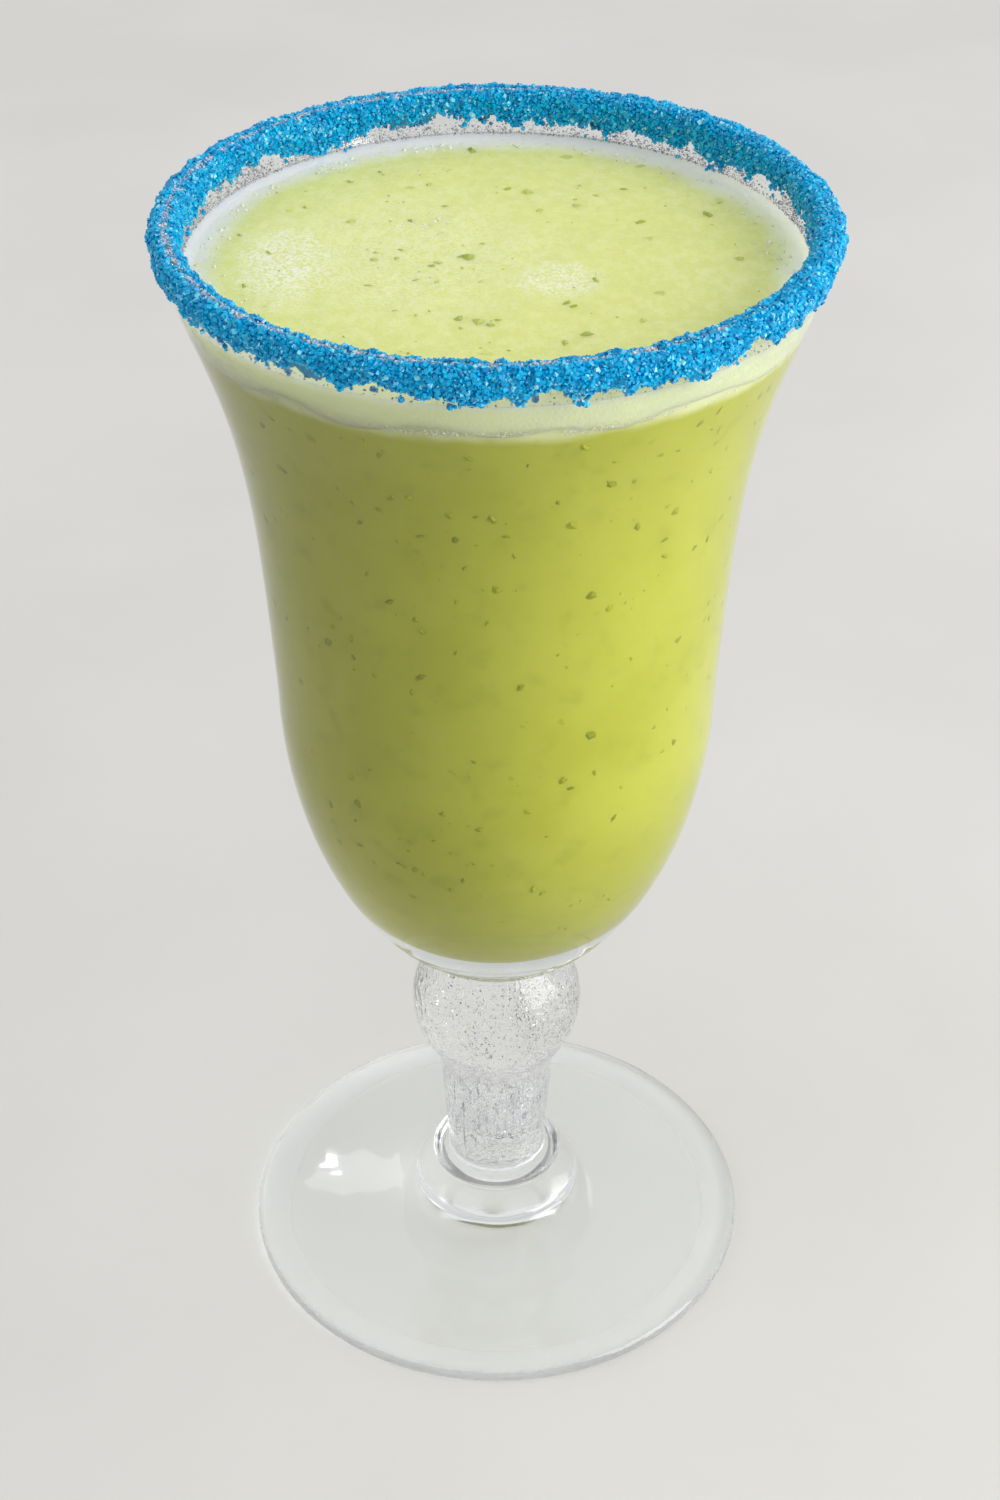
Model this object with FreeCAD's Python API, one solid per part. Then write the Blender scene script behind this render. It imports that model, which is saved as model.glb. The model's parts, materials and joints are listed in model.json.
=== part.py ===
"""A stemmed glass of green agua fresca with a blue sugar rim.

One pressed goblet carries everything: a bell bowl that flares to its lip, a ball knop, a
waisted column, a two-step collar and a flat foot. The drink fills the bowl, a paler froth
lies on it, and a crust of coloured sugar straddles the lip. Everything but the crust's
lumps is turned about Z. Sizes are millimetres, +Z is up, and the origin is the centre of
the circle on which the foot stands.
"""

import FreeCAD
import Part

import math
import os
import random

# ---- foot ------------------------------------------------------------------------------
FOOT_RADIUS = 38.7
FOOT_EDGE = 2.5            # thickness at the rounded rim of the foot
FOOT_RIM_ROUND = 1.2       # how far the rounding reaches in from the rim
CONTACT_WIDTH = 2.6        # flat ring on which the foot stands
UNDERSIDE_RISE = 1.4       # height of the shallow hollow under the foot
FOOT_SLOPE_HEIGHT = 7.2    # where the top of the foot meets the collar
FOOT_SLOPE_LATENESS = 1.7  # the higher, the nearer to the collar the foot's top rises

# ---- collar at the bottom of the stem --------------------------------------------------
SHOULDER_RADIUS = 13.2
SHOULDER_HEIGHT = 4.4      # lower, wider step
SHOULDER_DRAW_IN = 0.86    # how far its side has come in ...
SHOULDER_DRAW_RISE = 3.0   # ... at this height above the foot's slope
RING_RADIUS = 10.1
RING_HEIGHT = 3.6          # upper, narrower step
RING_WIDEST = 1.5          # height above the shoulder at which the ring is widest
RING_TUCK = 0.8            # how far the ring is drawn in where it sits on the shoulder
FOOT_COVE = 3.2
RING_COVE = 0.8
COLUMN_COVE = 2.2

# ---- column and knop -------------------------------------------------------------------
COLUMN_LOW_RADIUS = 7.5
COLUMN_TOP_RADIUS = 8.9
COLUMN_HEIGHT = 20.1
KNOP_RADIUS = 12.85
KNOP_COVE = 7.0            # hollow between the column and the ball
NECK_RADIUS = 7.9          # where the ball and the bowl would meet without their cove
NECK_COVE = 2.0

# ---- bowl ------------------------------------------------------------------------------
BELLY_RADIUS = 30.7        # outside, where the round bottom turns into the side
BOTTOM_DEPTH = 51.0        # half height of the oval that rounds the bottom
SIDE_HEIGHT = 68.6         # from the belly to the lip
SIDE_TAPER = 4.0           # what the straight taper adds to the radius up to the lip
FLARE = 7.9                # what the flare adds to it
FLARE_LATENESS = 3.9       # the higher, the nearer to the lip the flare opens
LIP_THICKNESS = 2.0
WALL = 2.5                 # at the belly
BOTTOM_THICKNESS = 13.1    # solid glass from the oval's end to the drink

# ---- contents --------------------------------------------------------------------------
FILL_GAP = 6.1             # from the lip down to the froth
FROTH_DEPTH = 3.8
MENISCUS_HEIGHT = 0.8
MENISCUS_WIDTH = 1.8

# ---- sugar crust -----------------------------------------------------------------------
CRUST_THICKNESS = 1.15
CRUST_TOP = 0.75           # how far it stands above the lip
CRUST_OUTER_DROP = 2.7     # from the middle of the lip's rounding down the outside
CRUST_INNER_DROP = 2.4     # and down the inside
CRUST_RAGGED = 0.9         # how far its lower edges wander up and down
CRUST_WAVES = ((5, 0.30), (9, 0.25), (16, 0.25), (27, 0.20))  # waves a turn, and their share
CRUST_OUTER_PHASE = 0.4    # shifts those waves round the rim
CRUST_INNER_PHASE = 1.9
CRUST_TOE = 0.5            # thickness at a lower edge, as a share of the full one
CRUST_TOE_REACH = 0.5      # share of a leg's height over which it grows to the full one
CRUST_LUMPS = 0.28         # height of its lumps
CRUST_SEED = 7             # chooses the pattern of lumps
CRUST_SECTIONS = 150       # slices round the rim
CRUST_LEG_STEPS = 4        # points on each leg of a slice
CRUST_CROWN_STEPS = 5      # points over the lip

SEWING_TOLERANCE = 0.001   # how close facets have to lie to be joined
EDGE_TOLERANCE = 0.01      # how close a circle has to be to count as the one looked for

# ---- heights that follow from the sizes above ------------------------------------------
COLUMN_FOOT = FOOT_SLOPE_HEIGHT + SHOULDER_HEIGHT + RING_HEIGHT
COLUMN_TOP = COLUMN_FOOT + COLUMN_HEIGHT
KNOP_CENTRE = COLUMN_TOP + math.sqrt(KNOP_RADIUS**2 - COLUMN_TOP_RADIUS**2)
NECK = KNOP_CENTRE + math.sqrt(KNOP_RADIUS**2 - NECK_RADIUS**2)
BELLY = NECK + BOTTOM_DEPTH * math.sqrt(1 - (NECK_RADIUS / BELLY_RADIUS) ** 2)
LIP = BELLY + SIDE_HEIGHT
LIP_CENTRE = LIP - LIP_THICKNESS / 2
CAVITY_FLOOR = BELLY - BOTTOM_DEPTH + BOTTOM_THICKNESS
FROTH_TOP = LIP - FILL_GAP
FROTH_FLOOR = FROTH_TOP - FROTH_DEPTH


def side_share(height):
    """How far up the side a height is: 0 at the belly, 1 where the lip's rounding starts."""
    return (height - BELLY) / (LIP_CENTRE - BELLY)


def side_radius(height):
    """Outside radius of the bowl above the belly: a straight taper plus a late flare."""
    share = side_share(height)
    flare = math.sin(share**FLARE_LATENESS * math.pi / 2)
    return BELLY_RADIUS + SIDE_TAPER * share + FLARE * flare


def oval_radius(height, radius, half_height):
    """Radius of an oval centred at the belly, at a height below it."""
    share = min(1.0, (BELLY - height) / half_height)
    return radius * math.sqrt(1 - share**2)


def outer_radius(height):
    """Outside radius of the bowl at any height from the neck to the lip."""
    if height >= BELLY:
        return side_radius(height)
    return oval_radius(height, BELLY_RADIUS, BOTTOM_DEPTH)


def inner_radius(height):
    """Inside radius of the bowl: the wall thins from the belly to the lip."""
    if height < BELLY:
        return oval_radius(height, BELLY_RADIUS - WALL, BELLY - CAVITY_FLOOR)
    return side_radius(height) - WALL + (WALL - LIP_THICKNESS) * side_share(height)


def point(radius, height):
    """A point of the outline, which is drawn in the XZ plane."""
    return FreeCAD.Vector(radius, 0, height)


def line(start, end):
    return Part.makeLine(point(*start), point(*end))


def arc(start, middle, end):
    return Part.Arc(point(*start), point(*middle), point(*end)).toShape()


def curve(points):
    """A smooth curve through the points."""
    spline = Part.BSplineCurve()
    spline.interpolate([point(*each) for each in points])
    return spline.toShape()


def turned(edges):
    """The solid that a closed outline sweeps round the Z axis."""
    face = Part.Face(Part.Wire(edges))
    return face.revolve(FreeCAD.Vector(0, 0, 0), FreeCAD.Vector(0, 0, 1), 360)


def stations(low, high, count, bottom=False):
    """Heights from low to high; with bottom, they crowd towards low as an oval needs."""
    for step in range(count + 1):
        share = step / count
        if bottom:
            share = 1 - math.cos(share * math.pi / 2)
        yield low + (high - low) * share


def bowl_outside():
    """The bowl's outside from the neck up to the lip's rounding."""
    low = [(outer_radius(z), z) for z in stations(NECK, BELLY, 10, bottom=True)]
    high = [(outer_radius(z), z) for z in stations(BELLY, LIP_CENTRE, 10)]
    return curve(low + high[1:])


def bowl_inside():
    """The bowl's inside from the floor of the cavity up to the lip's rounding."""
    low = [(inner_radius(z), z) for z in stations(CAVITY_FLOOR, BELLY, 12, bottom=True)]
    high = [(inner_radius(z), z) for z in stations(BELLY, LIP_CENTRE, 10)]
    return curve(low + high[1:])


def foot_outline():
    """Underside, rounded rim and gently hollow top of the foot, from the axis outwards."""
    contact_outer = FOOT_RADIUS - FOOT_RIM_ROUND
    contact_inner = contact_outer - CONTACT_WIDTH
    rim_top = (FOOT_RADIUS - FOOT_RIM_ROUND, FOOT_EDGE)
    slope_foot = (SHOULDER_RADIUS, FOOT_SLOPE_HEIGHT)
    run = rim_top[0] - slope_foot[0]
    rise = slope_foot[1] - rim_top[1]
    sag = [
        (rim_top[0] - run * t, rim_top[1] + rise * t**FOOT_SLOPE_LATENESS)
        for t in (0, 0.25, 0.5, 0.75, 1)
    ]
    return [
        arc((0, UNDERSIDE_RISE), (contact_inner / 2, UNDERSIDE_RISE * 3 / 4), (contact_inner, 0)),
        line((contact_inner, 0), (contact_outer, 0)),
        arc((contact_outer, 0), (FOOT_RADIUS, FOOT_EDGE / 2), rim_top),
        curve(sag),
    ]


def collar_outline():
    """The two rounded steps between the foot and the column."""
    step = (RING_RADIUS - RING_TUCK, FOOT_SLOPE_HEIGHT + SHOULDER_HEIGHT)
    draw = (SHOULDER_RADIUS - SHOULDER_DRAW_IN, FOOT_SLOPE_HEIGHT + SHOULDER_DRAW_RISE)
    widest = (RING_RADIUS, step[1] + RING_WIDEST)
    return [
        arc((SHOULDER_RADIUS, FOOT_SLOPE_HEIGHT), draw, step),
        arc(step, widest, (COLUMN_LOW_RADIUS, COLUMN_FOOT)),
    ]


def stem_outline():
    """The column, and the ball that sits on it."""
    return [
        line((COLUMN_LOW_RADIUS, COLUMN_FOOT), (COLUMN_TOP_RADIUS, COLUMN_TOP)),
        arc((COLUMN_TOP_RADIUS, COLUMN_TOP), (KNOP_RADIUS, KNOP_CENTRE), (NECK_RADIUS, NECK)),
    ]


def lip_outline():
    """The half round of the lip."""
    outside = outer_radius(LIP_CENTRE)
    inside = inner_radius(LIP_CENTRE)
    return arc((outside, LIP_CENTRE), ((outside + inside) / 2, LIP), (inside, LIP_CENTRE))


def is_ring(edge, radius, height):
    """Whether an edge is the circle of that radius and height round the Z axis."""
    if edge.Degenerated or edge.Curve.TypeId != "Part::GeomCircle":
        return False
    circle = edge.Curve
    off = max(abs(circle.Radius - radius), abs(circle.Center.z - height))
    return off < EDGE_TOLERANCE


def softened(solid, coves):
    """Rounds the hollow corners of the stem, each given by its radius, height and cove."""
    for radius, height, cove in coves:
        edges = [edge for edge in solid.Edges if is_ring(edge, radius, height)]
        solid = solid.makeFillet(cove, edges)
    return solid


def goblet():
    """The whole glass as one pressed piece."""
    axis = line((0, CAVITY_FLOOR), (0, UNDERSIDE_RISE))
    outline = foot_outline() + collar_outline() + stem_outline()
    outline += [bowl_outside(), lip_outline(), bowl_inside(), axis]
    coves = [
        (SHOULDER_RADIUS, FOOT_SLOPE_HEIGHT, FOOT_COVE),
        (RING_RADIUS - RING_TUCK, FOOT_SLOPE_HEIGHT + SHOULDER_HEIGHT, RING_COVE),
        (COLUMN_LOW_RADIUS, COLUMN_FOOT, COLUMN_COVE),
        (COLUMN_TOP_RADIUS, COLUMN_TOP, KNOP_COVE),
        (NECK_RADIUS, NECK, NECK_COVE),
    ]
    return softened(turned(outline), coves)


def filling(low, high):
    """What the cavity holds between two heights."""
    brim = (inner_radius(LIP_CENTRE), LIP_CENTRE)
    lid = line(brim, (0, LIP_CENTRE))
    cavity = turned([bowl_inside(), lid, line((0, LIP_CENTRE), (0, CAVITY_FLOOR))])
    slab = Part.makeCylinder(2 * BELLY_RADIUS, high - low, point(0, low))
    return cavity.common(slab).Solids[0]


def drink():
    """The drink, from the floor of the cavity up to the froth."""
    return filling(CAVITY_FLOOR, FROTH_FLOOR)


def froth():
    """The pale top layer, which creeps a little way up the wall."""
    crest = FROTH_TOP + MENISCUS_HEIGHT
    flat = inner_radius(crest) - MENISCUS_WIDTH
    creep = (MENISCUS_WIDTH**2 + MENISCUS_HEIGHT**2) / (2 * MENISCUS_HEIGHT)
    tilt = math.pi / 4
    air = turned([
        line((0, FROTH_TOP), (flat, FROTH_TOP)),
        arc(
            (flat, FROTH_TOP),
            (flat + creep * math.sin(tilt), FROTH_TOP + creep * (1 - math.cos(tilt))),
            (flat + creep, FROTH_TOP + creep),
        ),
        line((flat + creep, FROTH_TOP + creep), (0, FROTH_TOP + creep)),
        line((0, FROTH_TOP + creep), (0, FROTH_TOP)),
    ])
    return filling(FROTH_FLOOR, crest + MENISCUS_HEIGHT / 2).cut(air).Solids[0]


def wander(turn, phase):
    """A ragged wave round the rim, between about -1 and 1."""
    return sum(share * math.sin(beats * (turn + phase)) for beats, share in CRUST_WAVES)


def crust_leg(toe, wall, side, lumps):
    """The outer face of one leg of the crust, from its toe up to the lip's rounding.

    wall gives the radius of the glass, and side is 1 outside it and -1 inside it.
    """
    points = []
    for step in range(CRUST_LEG_STEPS):
        share = step / CRUST_LEG_STEPS
        height = toe + (LIP_CENTRE - toe) * share
        growth = math.sin(min(1.0, share / CRUST_TOE_REACH) * math.pi / 2)
        bulk = CRUST_TOE + (1 - CRUST_TOE) * growth
        points.append((wall(height) + side * bulk * (CRUST_THICKNESS + next(lumps)), height))
    return points


def crust_crown(lumps):
    """The part of the crust that goes over the lip, from outside to inside."""
    points = []
    middle = (outer_radius(LIP_CENTRE) + inner_radius(LIP_CENTRE)) / 2
    for step in range(CRUST_CROWN_STEPS):
        lean = math.pi * step / (CRUST_CROWN_STEPS - 1)
        swell = LIP_THICKNESS / 2 + next(lumps)
        radius = middle + (swell + CRUST_THICKNESS) * math.cos(lean)
        points.append((radius, LIP_CENTRE + (swell + CRUST_TOP) * math.sin(lean)))
    return points


def crust_section(turn, lumps):
    """One slice through the crust, as (radius, height) points from toe to toe.

    It starts and ends in the middle of the wall, so the glass cuts both toes off.
    """
    outer_toe = LIP_CENTRE - CRUST_OUTER_DROP - CRUST_RAGGED * wander(turn, CRUST_OUTER_PHASE)
    inner_toe = LIP_CENTRE - CRUST_INNER_DROP - CRUST_RAGGED * wander(turn, CRUST_INNER_PHASE)
    start, end = [
        ((outer_radius(toe) + inner_radius(toe)) / 2, toe) for toe in (outer_toe, inner_toe)
    ]
    outside = crust_leg(outer_toe, outer_radius, 1, lumps)
    crown = crust_crown(lumps)
    inside = crust_leg(inner_toe, inner_radius, -1, lumps)
    return [start] + outside + crown + inside[::-1] + [end]


def sugar_rim():
    """The crust of sugar: one faceted ring over the lip, with the glass cut out of it."""
    dice = random.Random(CRUST_SEED)
    lumps = iter(lambda: dice.uniform(-CRUST_LUMPS, CRUST_LUMPS), None)
    points = []
    for section in range(CRUST_SECTIONS):
        turn = 2 * math.pi * section / CRUST_SECTIONS
        for radius, height in crust_section(turn, lumps):
            points.append(
                FreeCAD.Vector(radius * math.cos(turn), radius * math.sin(turn), height)
            )
    count = len(points) // CRUST_SECTIONS
    facets = []
    for section in range(CRUST_SECTIONS):
        here = section * count
        there = (section + 1) % CRUST_SECTIONS * count
        for step in range(count):
            after = (step + 1) % count
            facets.append((here + step, there + step, there + after))
            facets.append((here + step, there + after, here + after))
    shell = Part.Shape()
    shell.makeShapeFromMesh((points, facets), SEWING_TOLERANCE)
    return Part.Solid(Part.Shell(shell.Faces)).cut(goblet()).Solids[0]


def main():
    os.makedirs("parts", exist_ok=True)
    pieces = {"goblet": goblet(), "drink": drink(), "froth": froth(), "sugar_rim": sugar_rim()}
    for name, solid in pieces.items():
        solid.exportStep(f"parts/{name}.step")


main()
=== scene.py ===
# %% [markdown]
# # A stemmed glass of agua fresca with a sugared rim
#
# The frame that is loaded first holds four measured solids: the goblet, the drink, the froth
# on it and the crust of sugar on the lip. This lesson gives each of them a finished piece that
# stands in the same place, in metres, with Z up and the foot on Z = 0.

import json
import math
import random

import bmesh
import bpy
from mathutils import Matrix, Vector, noise

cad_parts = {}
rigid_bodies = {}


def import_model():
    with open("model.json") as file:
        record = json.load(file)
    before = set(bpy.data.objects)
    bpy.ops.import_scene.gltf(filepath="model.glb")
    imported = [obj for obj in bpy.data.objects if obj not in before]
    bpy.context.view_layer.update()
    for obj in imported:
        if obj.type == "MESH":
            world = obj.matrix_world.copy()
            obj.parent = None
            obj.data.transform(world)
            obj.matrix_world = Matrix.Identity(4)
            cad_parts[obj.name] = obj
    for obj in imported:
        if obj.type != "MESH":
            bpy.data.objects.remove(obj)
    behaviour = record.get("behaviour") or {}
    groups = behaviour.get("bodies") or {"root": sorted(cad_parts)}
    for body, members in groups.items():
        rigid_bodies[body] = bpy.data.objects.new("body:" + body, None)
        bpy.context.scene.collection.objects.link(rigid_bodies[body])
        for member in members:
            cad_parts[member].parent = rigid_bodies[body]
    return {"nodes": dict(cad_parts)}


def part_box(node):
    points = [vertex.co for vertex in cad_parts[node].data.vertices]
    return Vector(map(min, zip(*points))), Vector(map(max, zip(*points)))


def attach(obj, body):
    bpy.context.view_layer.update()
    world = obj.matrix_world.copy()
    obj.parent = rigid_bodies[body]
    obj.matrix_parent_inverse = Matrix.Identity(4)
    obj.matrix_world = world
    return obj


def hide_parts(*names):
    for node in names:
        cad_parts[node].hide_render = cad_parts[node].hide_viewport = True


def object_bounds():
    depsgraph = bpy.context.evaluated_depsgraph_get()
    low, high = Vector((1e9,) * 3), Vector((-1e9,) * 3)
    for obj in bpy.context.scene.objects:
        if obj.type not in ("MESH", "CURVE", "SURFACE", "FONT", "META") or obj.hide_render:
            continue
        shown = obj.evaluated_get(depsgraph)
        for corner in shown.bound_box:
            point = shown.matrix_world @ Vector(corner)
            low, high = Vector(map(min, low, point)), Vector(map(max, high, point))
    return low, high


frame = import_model()
CAD_BOX = [list(corner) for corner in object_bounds()]
print("solids in the frame:", sorted(frame["nodes"]))

# %% [markdown]
# ## Heights and radii
#
# The levels of the lip and of the contents are read from the frame. The few sizes that a box
# can't tell, such as the wall of the glass or the width of the knop, are stated beside them.

# %% Sizes of the bowl
MM = 0.001
TURN = 2 * math.pi

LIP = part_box("goblet")[1].z
CAVITY_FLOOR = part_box("drink")[0].z
FROTH_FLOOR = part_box("drink")[1].z
FROTH_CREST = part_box("froth")[1].z
MENISCUS_HEIGHT = 0.8 * MM
MENISCUS_WIDTH = 1.8 * MM
FROTH_TOP = FROTH_CREST - MENISCUS_HEIGHT

LIP_THICKNESS = 2.0 * MM
LIP_HALF = LIP_THICKNESS / 2
LIP_CENTRE = LIP - LIP_HALF
BELLY = LIP - 68.6 * MM
BELLY_RADIUS = 30.7 * MM
BOTTOM_DEPTH = 51.0 * MM
WALL = 2.5 * MM
SIDE_TAPER = 4.0 * MM
FLARE = 7.9 * MM
FLARE_LATENESS = 3.9
print("lip at", round(LIP, 4), "froth at", round(FROTH_TOP, 4), "floor at", round(CAVITY_FLOOR, 4))


# %% Radii of the bowl, outside and inside
def side_share(height):
    """0 at the belly, 1 where the lip's rounding starts."""
    return (height - BELLY) / (LIP_CENTRE - BELLY)


def side_radius(height):
    """The bowl above its belly: a straight taper plus a late flare."""
    share = side_share(height)
    return BELLY_RADIUS + SIDE_TAPER * share + FLARE * math.sin(share**FLARE_LATENESS * TURN / 4)


def dome(height, centre, radius, half_height):
    """Radius of a rounded form at a height, or 0 above and below it."""
    share = (height - centre) / half_height
    return radius * math.sqrt(max(0.0, 1 - share**2))


def outer_radius(height):
    if height < BELLY:
        return dome(height, BELLY, BELLY_RADIUS, BOTTOM_DEPTH)
    return side_radius(height)


def inner_radius(height):
    if height < BELLY:
        return dome(height, BELLY, BELLY_RADIUS - WALL, BELLY - CAVITY_FLOOR)
    return side_radius(height) - WALL + (WALL - LIP_THICKNESS) * side_share(height)


LIP_MIDDLE = (outer_radius(LIP_CENTRE) + inner_radius(LIP_CENTRE)) / 2
print("lip radius", round(outer_radius(LIP_CENTRE), 4))

# %% [markdown]
# ## The outline of the goblet
#
# A pressed goblet is turned about one axis, so it is fully described by half of its outline.
# The outline could be drawn point by point, but the real one is made of a few simple forms:
# a ball, a tapered column and two beads. Their radii at each height are blended with a
# smooth maximum, which fills every inner corner with the soft cove that molten glass leaves.

# %% Outline of the stem
SHOULDER_FLOOR = 7.2 * MM
SHOULDER_HEIGHT = 4.4 * MM
SHOULDER_RADIUS = 13.2 * MM
RING_HEIGHT = 3.6 * MM
RING_RADIUS = 10.1 * MM
COLUMN_FOOT = SHOULDER_FLOOR + SHOULDER_HEIGHT + RING_HEIGHT
COLUMN_TOP = COLUMN_FOOT + 20.1 * MM
COLUMN_LOW_RADIUS = 7.5 * MM
COLUMN_TOP_RADIUS = 8.9 * MM
KNOP_RADIUS = 12.85 * MM
KNOP_CENTRE = COLUMN_TOP + math.sqrt(KNOP_RADIUS**2 - COLUMN_TOP_RADIUS**2)


def smooth_max(first, second, cove):
    """The larger of two radii, with a cove of about that size between them."""
    return max(first, second) + max(0.0, cove - abs(first - second)) ** 2 / (4 * cove)


def stem_radius(height):
    """Outside radius from the shoulder over the knop and into the bowl."""
    share = (height - COLUMN_FOOT) / (COLUMN_TOP - COLUMN_FOOT)
    column = COLUMN_LOW_RADIUS + (COLUMN_TOP_RADIUS - COLUMN_LOW_RADIUS) * share
    if height > KNOP_CENTRE:
        column = 0.0
    shoulder = dome(height, SHOULDER_FLOOR, SHOULDER_RADIUS, SHOULDER_HEIGHT * 1.12)
    ring = dome(height, COLUMN_FOOT - 0.56 * RING_HEIGHT, RING_RADIUS, 0.62 * RING_HEIGHT)
    knop = dome(height, KNOP_CENTRE, KNOP_RADIUS, KNOP_RADIUS)
    radius = smooth_max(column, shoulder, 1.2 * MM)
    radius = smooth_max(radius, ring, 1.2 * MM)
    radius = smooth_max(radius, knop, 2.6 * MM)
    return smooth_max(radius, outer_radius(height), 2.2 * MM)


# %% Helpers for outlines
WALL_STEPS = 40


def ease(low, high, count):
    """Values from low to high, closer together at both ends."""
    for step in range(count + 1):
        yield low + (high - low) * (1 - math.cos(math.pi * step / count)) / 2


def bend(start, corner, end, count):
    """A smooth bend from start to end that leans into the corner."""
    for step in range(1, count + 1):
        t = step / count
        weights = ((1 - t) ** 2, 2 * t * (1 - t), t**2)
        yield tuple(sum(w * p[i] for w, p in zip(weights, (start, corner, end))) for i in (0, 1))


def wall_points(start, reach):
    """The inside of the bowl from start down to its floor, pushed into the glass by reach."""
    points = [(inner_radius(z) + reach, z) for z in ease(start, BELLY, WALL_STEPS)]
    depth = BELLY - CAVITY_FLOOR + reach
    radius = BELLY_RADIUS - WALL + reach
    for step in range(1, WALL_STEPS + 1):
        lean = TURN / 4 * step / WALL_STEPS
        points.append((radius * math.cos(lean), BELLY - depth * math.sin(lean)))
    return points


# %% Outline of the whole goblet
FOOT_RADIUS = 38.7 * MM
FOOT_EDGE = 2.5 * MM
FOOT_RIM_ROUND = 1.2 * MM
CONTACT_WIDTH = 2.6 * MM
CONTACT_CROWN = 0.06 * MM
UNDERSIDE_RISE = 1.4 * MM
FOOT_SLOPE_LATENESS = 1.7
FOOT_COVE = 4.2 * MM
STEM_STEP = 0.42 * MM
ROUND_STEPS = 16


def foot_top(radius):
    """Height of the top of the foot, which rises ever faster towards the stem."""
    edge = FOOT_RADIUS - FOOT_RIM_ROUND
    share = (edge - radius) / (edge - SHOULDER_RADIUS)
    return FOOT_EDGE + (SHOULDER_FLOOR - FOOT_EDGE) * share**FOOT_SLOPE_LATENESS


def foot_outline():
    """From the middle of the underside, round the rim and in to the cove at the stem."""
    contact = FOOT_RADIUS - FOOT_RIM_ROUND
    hollow = contact - CONTACT_WIDTH
    rise = UNDERSIDE_RISE - CONTACT_CROWN
    points = [(r, CONTACT_CROWN + rise * (1 - (r / hollow) ** 2)) for r in ease(0, hollow, 20)]
    for step in range(1, 8):
        share = step / 8
        points.append((hollow + CONTACT_WIDTH * share, CONTACT_CROWN * (2 * share - 1) ** 2))
    half = (FOOT_EDGE - CONTACT_CROWN) / 2
    for step in range(ROUND_STEPS + 1):
        lean = math.pi * step / ROUND_STEPS
        across = FOOT_RIM_ROUND * math.sin(lean)
        points.append((contact + across, CONTACT_CROWN + half * (1 - math.cos(lean))))
    return points + [(r, foot_top(r)) for r in ease(contact, SHOULDER_RADIUS + FOOT_COVE, 24)][1:]


def goblet_outline():
    """(radius, height) points from the middle of the underside round to the cavity's floor."""
    points = foot_outline()
    low = SHOULDER_FLOOR + 0.34 * SHOULDER_HEIGHT
    high = KNOP_CENTRE + KNOP_RADIUS + 6 * MM
    corner = (stem_radius(low), foot_top(SHOULDER_RADIUS + 0.8 * MM))
    points += bend(points[-1], corner, (stem_radius(low), low), 10)
    steps = round((high - low) / STEM_STEP)
    stem = [low + (high - low) * step / steps for step in range(1, steps)]
    points += [(stem_radius(z), z) for z in stem]
    points += [(outer_radius(z), z) for z in ease(high, LIP_CENTRE, 64)]
    for step in range(1, ROUND_STEPS):
        lean = math.pi * step / ROUND_STEPS
        radius = LIP_MIDDLE + LIP_HALF * math.cos(lean)
        points.append((radius, LIP_CENTRE + LIP_HALF * math.sin(lean)))
    return points + wall_points(LIP_CENTRE, 0.0)


GOBLET_OUTLINE = goblet_outline()
print("the goblet's outline has", len(GOBLET_OUTLINE), "points")

# %% [markdown]
# ## Writing node trees as sums
#
# Geometry Nodes and shaders are both trees of nodes. Built by hand in Python they are long
# lists of links, so one small class wraps a socket: a sum or a product of two wrapped sockets
# adds the Math node for it. A second class adds any other node by its type.

# %% Helpers for node trees
class Wire:
    """A socket that can stand in an expression."""

    def __init__(self, nodes, socket):
        self.nodes = nodes
        self.socket = socket

    def math(self, operation, *values):
        return self.nodes.add("ShaderNodeMath", dict(enumerate(values)), operation=operation)

    def __add__(self, other):
        return self.math("ADD", self, other)

    def __sub__(self, other):
        return self.math("SUBTRACT", self, other)

    def __mul__(self, other):
        return self.math("MULTIPLY", self, other)

    def __rsub__(self, other):
        return self.math("SUBTRACT", other, self)

    __radd__ = __add__

    def step(self, low, high):
        """0 at low and 1 at high, with a smooth change between them."""
        inputs = {0: self, 1: low, 2: high}
        return self.nodes.add("ShaderNodeMapRange", inputs, interpolation_type="SMOOTHSTEP")

    def also(self, output):
        """Another output of the node that this one comes from."""
        return Wire(self.nodes, self.socket.node.outputs[output])


class Nodes:
    """A tree to which nodes are added one at a time."""

    def __init__(self, tree):
        self.tree = tree
        tree.nodes.clear()

    def add(self, kind, inputs=None, output=0, **settings):
        node = self.tree.nodes.new(kind)
        for name, value in settings.items():
            setattr(node, name, value)
        for name, value in (inputs or {}).items():
            if isinstance(value, Wire):
                self.tree.links.new(value.socket, node.inputs[name])
            else:
                node.inputs[name].default_value = value
        return Wire(self, node.outputs[output]) if node.outputs else None


def parts(place):
    """The X, Y and Z of a place."""
    east = place.nodes.add("ShaderNodeSeparateXYZ", {0: place})
    return east, east.also("Y"), east.also("Z")


def scaled(place, scale):
    inputs = {0: place, "Scale": scale}
    return place.nodes.add("ShaderNodeVectorMath", inputs, operation="SCALE")


# %% Helpers for Geometry Nodes
def new_tree(name, sockets):
    """A geometry tree with named inputs and one geometry output."""
    tree = bpy.data.node_groups.new(name, "GeometryNodeTree")
    sides = [("INPUT", *socket) for socket in sockets.items()]
    for side, label, kind in [*sides, ("OUTPUT", "Geometry", "Geometry")]:
        tree.interface.new_socket(name=label, in_out=side, socket_type="NodeSocket" + kind)
    nodes = Nodes(tree)
    given = nodes.add("NodeGroupInput")
    return tree, nodes, {label: given.also(label) for label in sockets}


def end_tree(nodes, shape, finish):
    """Makes real geometry of a tree's result, gives it its finish and puts it out."""
    shape = nodes.add("GeometryNodeRealizeInstances", {"Geometry": shape})
    shape = nodes.add("GeometryNodeSetMaterial", {"Geometry": shape, "Material": finish})
    nodes.add("NodeGroupOutput", {"Geometry": shape})


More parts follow.
